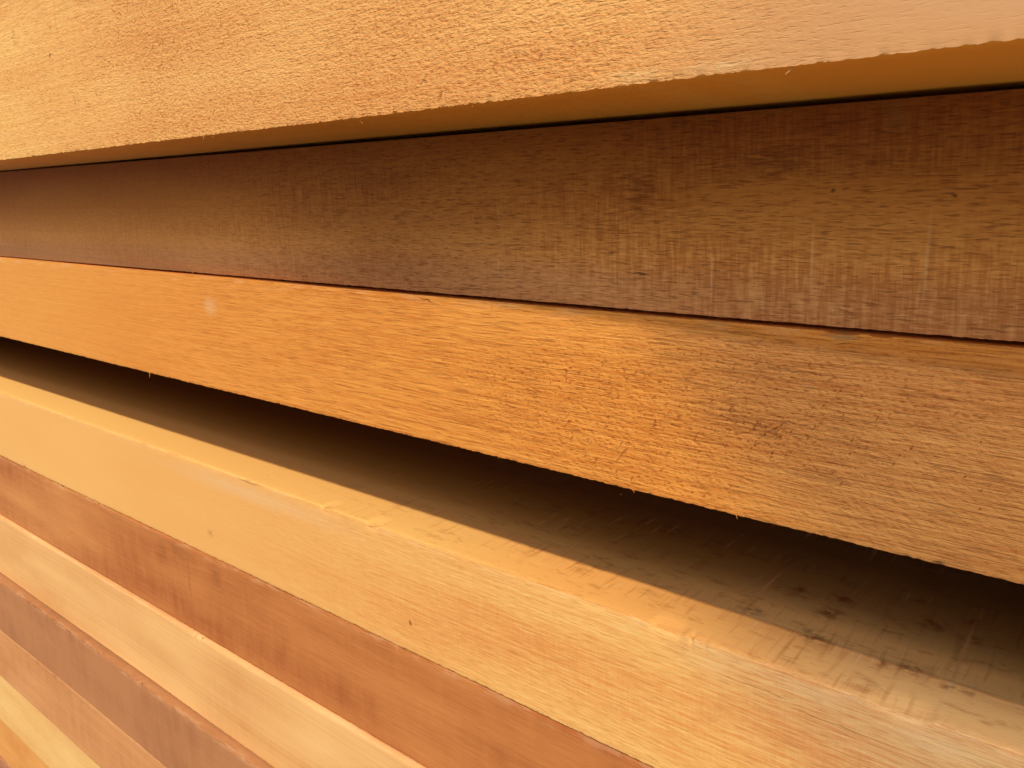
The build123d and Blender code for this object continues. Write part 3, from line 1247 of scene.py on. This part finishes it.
# Each mark: kind, along, up, length, thickness, lean in degrees
face_marks = {
    "top_row_beam1": [
        ("line", 0.6008, 0.6215, 0.0005, 0.030, 0),
        ("smear", 0.5577, 0.6169, 0.006, 0.012, 0),
        ("pit", 0.5913, 0.6062, 0.0025, 0.0025, 0),
        ("line", 0.8478, 0.5759, 0.0070, 0.0007, -30),
        ("line", 0.8431, 0.5782, 0.0012, 0.0010, 0),
        # with the broad tone, painted shade over the right-hand end
        ("pale", 0.93, 0.585, 0.10, 0.040, 0),
        ("worn", 0.8560, 0.5706, 0.0200, 0.0034, 0),
        ("worn", 0.8740, 0.5704, 0.0200, 0.0028, 0),
    ],
    "upper_row2_board1": [
        ("line", 0.8300, 0.5315, 0.0110, 0.0006, 4),
        ("crack", 0.8370, 0.5290, 0.0070, 0.0006, -3),
        ("line", 0.8345, 0.5275, 0.0180, 0.0006, 2),
        ("line", 0.8262, 0.5342, 0.0140, 0.0006, 5),
        ("line", 0.7745, 0.5214, 0.0440, 0.0009, 2),
        ("scratch", 0.7879, 0.5450, 0.0012, 0.016, 8),
        ("scratch", 0.7877, 0.5290, 0.0010, 0.012, 0),
        ("scratch", 0.9036, 0.5370, 0.0012, 0.032, 1),
        ("scratch", 0.8800, 0.5350, 0.0010, 0.026, 2),
        ("scratch", 0.8560, 0.5300, 0.0010, 0.018, 3),
        ("pit", 0.8836, 0.5500, 0.0018, 0.0018, 0),
        ("pit", 0.9073, 0.5486, 0.0014, 0.0014, 0),
        ("pale", 0.8947, 0.5654, 0.007, 0.010, 0),
        ("smear", 0.8700, 0.5560, 0.030, 0.010, 0),
        ("smear", 0.8350, 0.5500, 0.012, 0.024, 0),
    ],
    "upper_row1_board1": [
        ("crack", 0.7610, 0.5172, 0.0150, 0.0005, -12),
        ("line", 0.7875, 0.5168, 0.0005, 0.0032, 0),
        ("line", 0.8399, 0.5174, 0.0060, 0.0005, -8),
        ("line", 0.8520, 0.5172, 0.0260, 0.0005, -1),
        ("line", 0.8640, 0.5166, 0.0220, 0.0005, -2),
        ("grey", 0.8890, 0.5174, 0.0110, 0.0024, -2),
        ("crack", 0.8895, 0.5158, 0.0060, 0.0004, 6),
        ("scratch", 0.8825, 0.5053, 0.0060, 0.0005, 0),
        ("line", 0.9110, 0.5065, 0.0250, 0.0008, 0),
        ("line", 0.8800, 0.5085, 0.0300, 0.0006, -1),
        ("pit", 0.9141, 0.4695, 0.0040, 0.0014, 0),
        ("pale", 0.6330, 0.5060, 0.0150, 0.012, 0),
        ("smear", 0.8650, 0.4950, 0.0260, 0.0100, 0),
        ("smear", 0.8740, 0.4925, 0.0060, 0.0070, 30),
        # Painted shadows of raised fibres over the rough patch
        ("stroke", 0.8512, 0.4926, 0.0032, 0.0011, 60),
        ("stroke", 0.8620, 0.4949, 0.0026, 0.0009, 50),
        ("stroke", 0.8678, 0.4938, 0.0024, 0.0010, 60),
        ("stroke", 0.8716, 0.4934, 0.0032, 0.0013, 65),
        ("stroke", 0.8756, 0.4926, 0.0042, 0.0013, 62),
        ("stroke", 0.8775, 0.4957, 0.0028, 0.0009, 55),
        ("stroke", 0.8438, 0.4969, 0.0030, 0.0010, 60),
        ("stroke", 0.8529, 0.5028, 0.0024, 0.0009, 40),
        ("stroke", 0.8352, 0.5004, 0.0018, 0.0009, 60),
        ("stroke", 0.8157, 0.5002, 0.0032, 0.0009, 65),
    ],
    "lower_row8_board1": [
        ("smear", 0.5829, 0.3809, 0.007, 0.007, 0),
        ("pit", 0.7294, 0.3806, 0.0025, 0.0025, 0),
        ("smear", 0.6789, 0.4178, 0.0070, 0.0022, 0),
        ("smear", 0.7089, 0.4172, 0.0080, 0.0024, 0),
        ("line", 0.6235, 0.4180, 0.0300, 0.0016, 0),
        ("worn", 0.8290, 0.4140, 0.020, 0.006, 0),
        ("worn", 0.8560, 0.4120, 0.024, 0.007, 0),
        ("worn", 0.8860, 0.4150, 0.026, 0.006, 0),
        ("worn", 0.9180, 0.4130, 0.030, 0.008, 0),
        ("pale", 0.62, 0.412, 0.22, 0.014, 0),
        ("line", 0.8720, 0.4100, 0.030, 0.0006, 0),
        ("line", 0.8950, 0.4080, 0.040, 0.0006, 0),
    ],
    "lower_row7_board1": [
        ("line", 0.5565, 0.3450, 0.0016, 0.040, 0),
        ("smear", 0.5300, 0.3560, 0.016, 0.024, 0),
        ("smear", 0.5500, 0.3600, 0.040, 0.016, 0),
        ("smear", 0.5850, 0.3550, 0.020, 0.024, 0),
        # painted shade: a dark band right under the board above
        ("smear", 0.6600, 0.3665, 0.060, 0.006, 0),
        ("smear", 0.7138, 0.3650, 0.012, 0.004, 0),
    ],
    "lower_row4_board1": [
        ("smear", 0.3297, 0.2080, 0.012, 0.005, 0),
        ("smear", 0.3614, 0.2088, 0.014, 0.005, 0),
    ],
}

# Each mark on a top: kind, along, across, length, thickness, lean in degrees
top_marks = {
    "lower_row8_board1": [
        ("stain", 0.8596, -0.2793, 0.0120, 0.0075, 0),
        ("stain", 0.8802, -0.2835, 0.0150, 0.0150, 0),
        ("stain", 0.8802, -0.2653, 0.0130, 0.0160, 0),
        ("stain", 0.8810, -0.2535, 0.0130, 0.0150, 0),
        ("stain", 0.8677, -0.2549, 0.0080, 0.0080, 0),
        ("stain", 0.9070, -0.2840, 0.0130, 0.0130, 0),
        ("stain", 0.9162, -0.2863, 0.0050, 0.0080, 0),
        ("stain", 0.9192, -0.2564, 0.0100, 0.0100, 0),
        ("stain", 0.9185, -0.2435, 0.0090, 0.0110, 0),
        ("stain", 0.9000, -0.2857, 0.0070, 0.0070, 0),
        ("stain", 0.9221, -0.2863, 0.0080, 0.0060, 0),
        ("stain", 0.9079, -0.2528, 0.0140, 0.0140, 0),
        ("smear", 0.8998, -0.2976, 0.0060, 0.0050, 0),
        ("smear", 0.8782, -0.3003, 0.0100, 0.0060, 0),
        ("smear", 0.8003, -0.2889, 0.0120, 0.0080, 0),
        ("smear", 0.8271, -0.2889, 0.0140, 0.0080, 0),
        ("smear", 0.8966, -0.2960, 0.0080, 0.0060, 0),
        ("smear", 0.8076, -0.2673, 0.0140, 0.0120, 0),
        ("cut", 0.8576, -0.2625, 0.0015, 0.052, -4),
        ("cut", 0.9176, -0.2675, 0.0019, 0.068, -2),
        ("cut", 0.8890, -0.2760, 0.0006, 0.040, -3),
    ],
}
marked = [*face_marks.values(), *top_marks.values()]
print(f"{sum(len(marks) for marks in marked)} marks on {len(face_marks)} faces and "
      f"{len(top_marks)} top")

# %% [markdown]
# A mark is a spot on the front or on the top. A noise shoves its outline about, so that
# it comes out ragged, except for a scratch or a cut, which something hard drew straight.
# Some kinds show only in part: smears and worn fibres lie between the streaks, and a
# stain soaks in here and there.

# %% Lay the marks
straight_marks = ("scratch", "cut")
shove_size = (0.004, 0.0012, 0.0012)
most_shove = (0.004, 0.0014, 0.0014)
stain_blot_size = (0.0032, 0.0034, 0.0034)


def add_marks(tree, name, colour, at, streak):
    """Lays the marks of a board's front and top over its colour."""
    shove = add_node(
        tree, "ShaderNodeTexNoise",
        {"Vector": vector_maths(tree, "DIVIDE", at["board"], shove_size), "Scale": 1.0,
         "Detail": 1.0},
    ).outputs["Color"]
    shove = vector_maths(tree, "SUBTRACT", shove, (0.5, 0.5, 0.5))
    ragged = vector_maths(
        tree, "ADD", at["frame"], vector_maths(tree, "MULTIPLY", shove, most_shove)
    )
    broken_up = soft_step(tree, streak, 0.36, 0.56)
    blotted = noise(tree, at["frame"], stain_blot_size, detail=2.0, roughness=0.6)
    blotted = soft_step(tree, blotted, 0.36, 0.60)
    shows_in = {"smear": [broken_up], "worn": [broken_up] * 3, "stain": [blotted]}
    marks = [(False, *mark) for mark in face_marks.get(name, [])]
    marks += [(True, *mark) for mark in top_marks.get(name, [])]
    for on_top, kind, along, other, length, thickness, lean in marks:
        mark_tone, strength, hardness = mark_kinds[kind]
        middle, half_size = (along, 0, other), (length / 2, through, thickness / 2)
        turn = (0, -radians(lean), 0)
        if on_top:
            middle, half_size = (along, other, 0), (length / 2, thickness / 2, through)
            turn = (0, 0, radians(lean))
        mask = use_group(tree, spot, Place=at["frame"] if kind in straight_marks else ragged,
                         Middle=middle, Turn=turn, Half_size=half_size,
                         Hardness=hardness)["Mask"]
        share = product(tree, mask, *shows_in.get(kind, []), strength)
        colour = mix_colour(tree, share, colour, mark_tone)
    return colour


# %% [markdown]
# Last, each board takes broad tones over whole parts of its face. The duller right-hand
# ends of the front boards are painted shade, and a board under an overhang has painted
# shade and light that follow the overhang's shadow. Other tones make a part lighter or
# darker. Each of these tones multiplies the colour. An underside has tones of its own.

# %% Shade a board by its place in the stack
# Each: middle along and up, half size along and up, hardness of the edge, multiplier
broad_tones = {
    "top_row_beam1": [
        # painted shade: a shadow that dulls the right-hand end
        (1.06, 0.50, 0.23, 0.23, 0.78, (0.80, 0.84, 1.12)),
        (-1.20, 0.60, 1.98, 0.46, 0.793, (1.13, 1.36, 1.34)),
    ],
    "upper_row2_board1": [
        (0.740, 0.530, 0.10, 0.040, 0.0, (0.66, 0.60, 0.56)),
        (1.05, 0.545, 0.35, 0.20, 0.2, (0.92, 0.95, 0.90)),
    ],
    "upper_row1_board1": [
        # painted shade: a shadow that dulls the right-hand end
        (1.035, 0.608, 0.234, 0.234, 0.80, (0.57, 0.61, 0.88)),
        (-1.20, 0.50, 1.82, 0.40, 0.885, (1.04, 1.16, 1.30)),
    ],
    "lower_row8_board1": [
        # painted shade: a shadow that dulls the right-hand end
        (1.05, 0.62, 0.305, 0.305, 0.82, (0.71, 0.77, 1.08)),
        (-1.20, 0.40, 1.82, 0.40, 0.885, (1.03, 1.08, 1.10)),
    ],
    "lower_row7_board1": [(-1.20, 0.35, 1.74, 0.30, 0.883, (1.10, 1.22, 1.32))],
}

# A board under an overhang has painted shade and light: dark high up under it, and
# lighter and bluer low down. Each: height and multiplier, lowest first
painted_shade_by_height = {
    "upper_row2_board1": [
        (0.519, 0.91, 0.96, 1.42),
        (0.527, 0.93, 0.95, 1.32),
        (0.533, 1.00, 1.00, 1.06),
        (0.539, 0.82, 0.78, 0.69),
        (0.548, 0.61, 0.52, 0.35),
        (0.556, 0.48, 0.40, 0.23),
        (0.566, 0.35, 0.23, 0.08),
    ],
}

# The lamp's shadow from an overhang ends on a line on the face below it, which drops to
# the right. Below the line, where the lamp lights the face, a tone is painted shade; with
# None, only that part takes the broad tones, and the shadowed part above keeps its full
# colour, which is painted light. Each: along and up of a point of that line, half its
# softness, and the tone of the wood below it, or None where only that wood takes the
# broad tones
lamp_shadow_slope = 0.0316
lamp_shadow_lines = {
    # painted shade over the part of this face that the lamp lights
    "upper_row2_board1": (0.616, 0.5204, 0.0016, (0.45, 0.46, 0.46, 1.0)),
    # painted light: the part in the lamp's shadow keeps its full colour
    "upper_row1_board1": (0.880, 0.5153, 0.0015, None),
}

# A soffit is the underside that an overhang shows. Each: along and multiplier
soffit_tones = {
    "top_row_beam1": [
        (0.45, 0.70, 0.74, 1.00),
        (0.75, 0.57, 0.54, 0.22),
        (0.92, 1.00, 1.00, 0.66),
    ],
}


def shade_by_place(tree, name, colour, at):
    """Multiplies the colour over whole parts: painted shade and light, and wood tones."""
    shade_and_tone_mask = at["not_under"]
    if name in open_tops:
        shade_and_tone_mask = maths(tree, "SUBTRACT", 1.0, behind_lit_strip(tree, at))
    if name in lamp_shadow_lines:
        start, line_up, soft, lit_part_shade = lamp_shadow_lines[name]
        drop = maths(tree, "MULTIPLY", maths(tree, "SUBTRACT", at["along"], start), lamp_shadow_slope)
        over_line = maths(tree, "SUBTRACT", maths(tree, "ADD", at["rise"], drop), line_up)
        lamp_lit = product(tree, at["not_under"], soft_step(tree, over_line, soft, -soft))
        if lit_part_shade:
            colour = mix_colour(tree, lamp_lit, colour, lit_part_shade, blend="MULTIPLY")
        else:
            shade_and_tone_mask = lamp_lit
    for along, up, half_along, half_up, hardness, multiplier in broad_tones.get(name, []):
        mask = use_group(tree, spot, Place=at["frame"], Middle=(along, 0, up),
                         Half_size=(half_along, through, half_up), Hardness=hardness)["Mask"]
        mask = maths(tree, "MULTIPLY", mask, shade_and_tone_mask)
        colour = mix_colour(tree, mask, colour, (*multiplier, 1.0), blend="MULTIPLY")
    if name in painted_shade_by_height:
        by_height = ramp(tree, at["rise"], painted_shade_by_height[name])
        colour = mix_colour(tree, at["not_under"], colour, by_height, blend="MULTIPLY")
    if name in soffit_tones:
        by_length = ramp(tree, at["along"], soffit_tones[name])
        colour = mix_colour(tree, at["under"], colour, by_length, blend="MULTIPLY")
    return colour


# %% [markdown]
# One function calls the others in the order in which things happened to the board. End
# grain is darker than a face, because it drinks in the light between its open fibres.
# Sawn wood hardly shines, so the roughness is high and the specular level low.

# %% Build a wood material
under_tones = {"top_row_beam1": tone(255, 176, 72)}  # a deeper orange on the underside
under_share = 0.75
ledge_tones = {"lower_row5_board1": (0.92, 1.00, 1.00, 1.0)}  # multiplies a ledge
torn_share = 0.4  # how dark torn grain is
end_share = 0.6  # how dark end grain is
wood_roughness = 0.78
wood_shine = 0.25


def make_wood(name, finish, middle, turn, seed, pith):
    """The material of one board. The middle and the turn say how the board lies."""
    material = bpy.data.materials.new(f"{name}_wood")
    material.use_nodes = True
    tree = material.node_tree
    at = find_place(tree, middle, turn, seed)
    share, groove_and_shadow, height, streak = mix_wood(tree, finish, at, pith)
    colour = mix_colour(tree, share, finish["light"], finish["dark"])
    colour = mix_colour(tree, groove_and_shadow, colour, finish["groove"])
    if finish["torn"]:
        torn = use_group(tree, torn_grain, Place=at["board"], Share=finish["torn"])
        darker = maths(tree, "MULTIPLY", torn["Torn"], torn_share)
        colour = mix_colour(tree, darker, colour, finish["dark"])
        height = maths(tree, "ADD", height, torn["Height"])
    colour = add_arris_wear(tree, colour, finish, at)
    if name in under_tones:
        underside_tone_share = product(tree, at["under"], under_share)
        colour = mix_colour(tree, underside_tone_share, colour, under_tones[name])
    if name in open_tops:
        colour = add_top(tree, colour, at)
    if name in ledge_tones:
        colour = mix_colour(tree, at["upward"], colour, ledge_tones[name], blend="MULTIPLY")
    if name in face_marks or name in top_marks:
        colour = add_marks(tree, name, colour, at, streak)
    colour = shade_by_place(tree, name, colour, at)
    end_colour = mix_colour(tree, share, finish["dark"], finish["groove"])
    on_end = maths(tree, "MULTIPLY", at["on_end"], end_share)
    colour = mix_colour(tree, on_end, colour, end_colour)

    wood = tree.nodes["Principled BSDF"]
    bump = add_node(
        tree, "ShaderNodeBump",
        {"Strength": 1.0, "Distance": finish["relief"], "Height": height},
    )
    tree.links.new(bump.outputs["Normal"], wood.inputs["Normal"])
    tree.links.new(colour, wood.inputs["Base Color"])
    wood.inputs["Roughness"].default_value = wood_roughness
    wood.inputs["Specular IOR Level"].default_value = wood_shine
    return material


# %% [markdown]
# The record says which kind of wood each board is. A front board has its own finish,
# picked to match the photograph, and the others get their kind's finish with a little
# chance in the tones. The bearers keep the frame's own mesh, and their grain is turned
# to run along them.

# %% Finish every board
slots = {part["node"]: part["material_slot"] for part in frame["record"]["subparts"]}
front_turn = 1.41  # degrees that the first top beam lies askew
turn_settling = 0.6  # each next beam's turn, as a share of the one before
most_change = 0.12  # of a hidden board's tones
pith_to_side = 0.08  # at most
pith_over = (0.05, 0.14)  # how far over or under the board, at least and at most


def vary(colour):
    """A tone that is a little lighter or darker."""
    step = 1 + chance.uniform(-most_change, most_change)
    return (*(min(1.0, part * step) for part in colour[:3]), 1.0)


wood_materials = {}
for name in sorted(timber):
    finish = {**plain_finish, **slot_finishes[slots[name]]}
    if name in front_finishes:
        finish.update(front_finishes[name])
    else:
        finish["light"] = vary(finish["light"])
        finish["dark"] = vary(finish["dark"])
    low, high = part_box(name)
    middle = [(a + b) / 2 for a, b in zip(low, high)]
    turn = 0.0
    if name.startswith("top_row"):
        turn = radians(front_turn * turn_settling ** (int(name[-1]) - 1))
    elif name.startswith("bearer"):
        turn = radians(90)
    pith_across = chance.uniform(-pith_to_side, pith_to_side)
    pith_up = chance.choice((-1, 1)) * chance.uniform(*pith_over)
    wood_materials[name] = make_wood(
        name, finish, middle, turn, seeds[name], (pith_across, pith_up)
    )
    if name in boards:
        piece = boards[name]
        piece.data.materials.clear()
        piece.data.materials.append(wood_materials[name])
    else:
        for slot in timber[name].material_slots:
            slot.material = wood_materials[name]
print(f"{len(timber)} finishes")

# %% [markdown]
# Single fibres that the saw lifted are too thick to leave to a bump: each has its own
# thin shadow, and at an arris it stands out against the dark. One splinter is modelled
# from a four-sided cone that is bent in three places. Then it is copied, and each copy
# is set on its board with its foot in the wood.

# %% Model one splinter
splinter_bend = 0.18  # how far its tip bends, as a share of its length
splinter_cuts = (0.3, 0.55, 0.8)  # where it can bend
foot_radius = 0.5
tip_radius = 0.12


def model_splinter():
    """A splinter one unit long, from its foot at the origin along X."""
    bpy.ops.object.select_all(action="DESELECT")
    bpy.ops.mesh.primitive_cone_add(
        vertices=4, radius1=foot_radius, radius2=tip_radius, depth=1.0,
        location=(0.5, 0, 0), rotation=(0, radians(90), 0),
    )
    splinter = bpy.context.object
    splinter.name = "splinter"
    bpy.ops.object.transform_apply(location=True, rotation=True)
    bpy.ops.object.mode_set(mode="EDIT")
    for along in splinter_cuts:
        bpy.ops.mesh.select_all(action="SELECT")
        bpy.ops.mesh.bisect(plane_co=(along, 0, 0), plane_no=(1, 0, 0))
    bpy.ops.object.mode_set(mode="OBJECT")
    for corner in splinter.data.vertices:
        corner.co.z += splinter_bend * corner.co.x**2
    return splinter


splinter = model_splinter()
print(f"One splinter, {len(splinter.data.polygons)} faces")

# %% [markdown]
# The two boards that are seen from nearest have splinters. At the arrises they are
# listed one by one, and over the woolly parts of the faces they are strewn by chance.

# %% Set the splinters
foot_depth = 0.0002  # how deep a splinter's foot is sunk

# What the strewn ones lie between: length, thickness, direction and lift
strewn_length = (0.0008, 0.0020)
strewn_thickness = (0.00022, 0.00042)
strewn_direction = (30, 80)
strewn_lift = (30, 65)

# Each: board, along, up, length, thickness, direction in degrees on the face (0 points
# along X and 90 up) and how steeply it stands off the face
arris_splinters = [
    ("upper_row1_board1", 0.5750, 0.4693, 0.0030, 0.00030, -70, 25),
    ("upper_row1_board1", 0.8377, 0.4695, 0.0016, 0.00022, -35, 20),
    ("upper_row1_board1", 0.8385, 0.4695, 0.0012, 0.00016, -80, 30),
    ("upper_row1_board1", 0.8677, 0.4695, 0.0014, 0.00020, -60, 20),
    ("upper_row1_board1", 0.8685, 0.4695, 0.0010, 0.00016, -20, 30),
    ("upper_row1_board1", 0.6218, 0.5186, 0.0030, 0.00035, 70, 25),
    ("upper_row1_board1", 0.7900, 0.4695, 0.0010, 0.00018, -50, 20),
    ("top_row_beam1", 0.8875, 0.5695, 0.0026, 0.00050, -140, 15),
    ("top_row_beam1", 0.8450, 0.5695, 0.0014, 0.00035, -60, 20),
    ("top_row_beam1", 0.8520, 0.5695, 0.0016, 0.00040, -30, 20),
    ("top_row_beam1", 0.8150, 0.5693, 0.0012, 0.00030, -120, 20),
    ("top_row_beam1", 0.7000, 0.5693, 0.0014, 0.00030, -100, 20),
]

# Each: board, how many, middle along and up, spread along and up
face_splinters = [
    ("upper_row1_board1", 70, 0.866, 0.4920, 0.050, 0.016),
    ("upper_row1_board1", 30, 0.815, 0.4950, 0.040, 0.014),
    ("upper_row1_board1", 26, 0.874, 0.4930, 0.010, 0.006),
    ("top_row_beam1", 40, 0.700, 0.6000, 0.120, 0.030),
]
named_tufts = [
    ("upper_row1_board1", 0.7935, 0.4955, 0.0016, 0.00045, 150, 62),
    ("upper_row1_board1", 0.7960, 0.4990, 0.0012, 0.00035, 120, 60),
    ("upper_row1_board1", 0.8048, 0.4926, 0.0014, 0.00035, 140, 60),
    ("upper_row1_board1", 0.8768, 0.4945, 0.0024, 0.00050, 150, 60),
]


def front_of(name, along):
    """Where a board's front face is at a place along it."""
    corners, crook, _ = measure(name)
    left, right = corners[0, 0], corners[1, 0]
    share = (along - left.x) / (right.x - left.x)
    return left.lerp(right, share).y + crook * (1 - (2 * share - 1) ** 2)


def set_splinter(name, along, up, length, thickness, direction, lift):
    """One splinter with its foot in a board's front face."""
    piece = bpy.data.objects.new("copy", splinter.data.copy())
    bpy.context.collection.objects.link(piece)
    foot = Vector((along, front_of(name, along) + foot_depth, up))
    turn = Euler((0, -radians(direction), 0)).to_matrix().to_4x4()
    stand = Matrix.Rotation(-radians(lift), 4, "Z")
    size = Matrix.Diagonal((length, thickness, thickness, 1.0))
    piece.data.transform(Matrix.Translation(foot) @ turn @ stand @ size)
    return piece


splinter_chance = Random(5)
copies = {"upper_row1_board1": [], "top_row_beam1": []}
for values in arris_splinters + named_tufts:
    copies[values[0]].append(set_splinter(*values))
for name, count, along, up, spread_along, spread_up in face_splinters:
    for _ in range(count):
        copies[name].append(set_splinter(
            name,
            splinter_chance.gauss(along, spread_along / 2),
            splinter_chance.gauss(up, spread_up / 2),
            splinter_chance.uniform(*strewn_length),
            splinter_chance.uniform(*strewn_thickness),
            splinter_chance.uniform(*strewn_direction),
            splinter_chance.uniform(*strewn_lift),
        ))
for name, pieces in copies.items():
    bpy.ops.object.select_all(action="DESELECT")
    for piece in pieces:
        piece.select_set(True)
    bpy.context.view_layer.objects.active = pieces[0]
    bpy.ops.object.join()
    joined = bpy.context.object
    joined.name = f"splinters_{name}"
    joined.data.materials.append(wood_materials[name])
    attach(joined, "root")
    print(f"{joined.name}: {len(pieces)} splinters")
bpy.data.objects.remove(splinter)
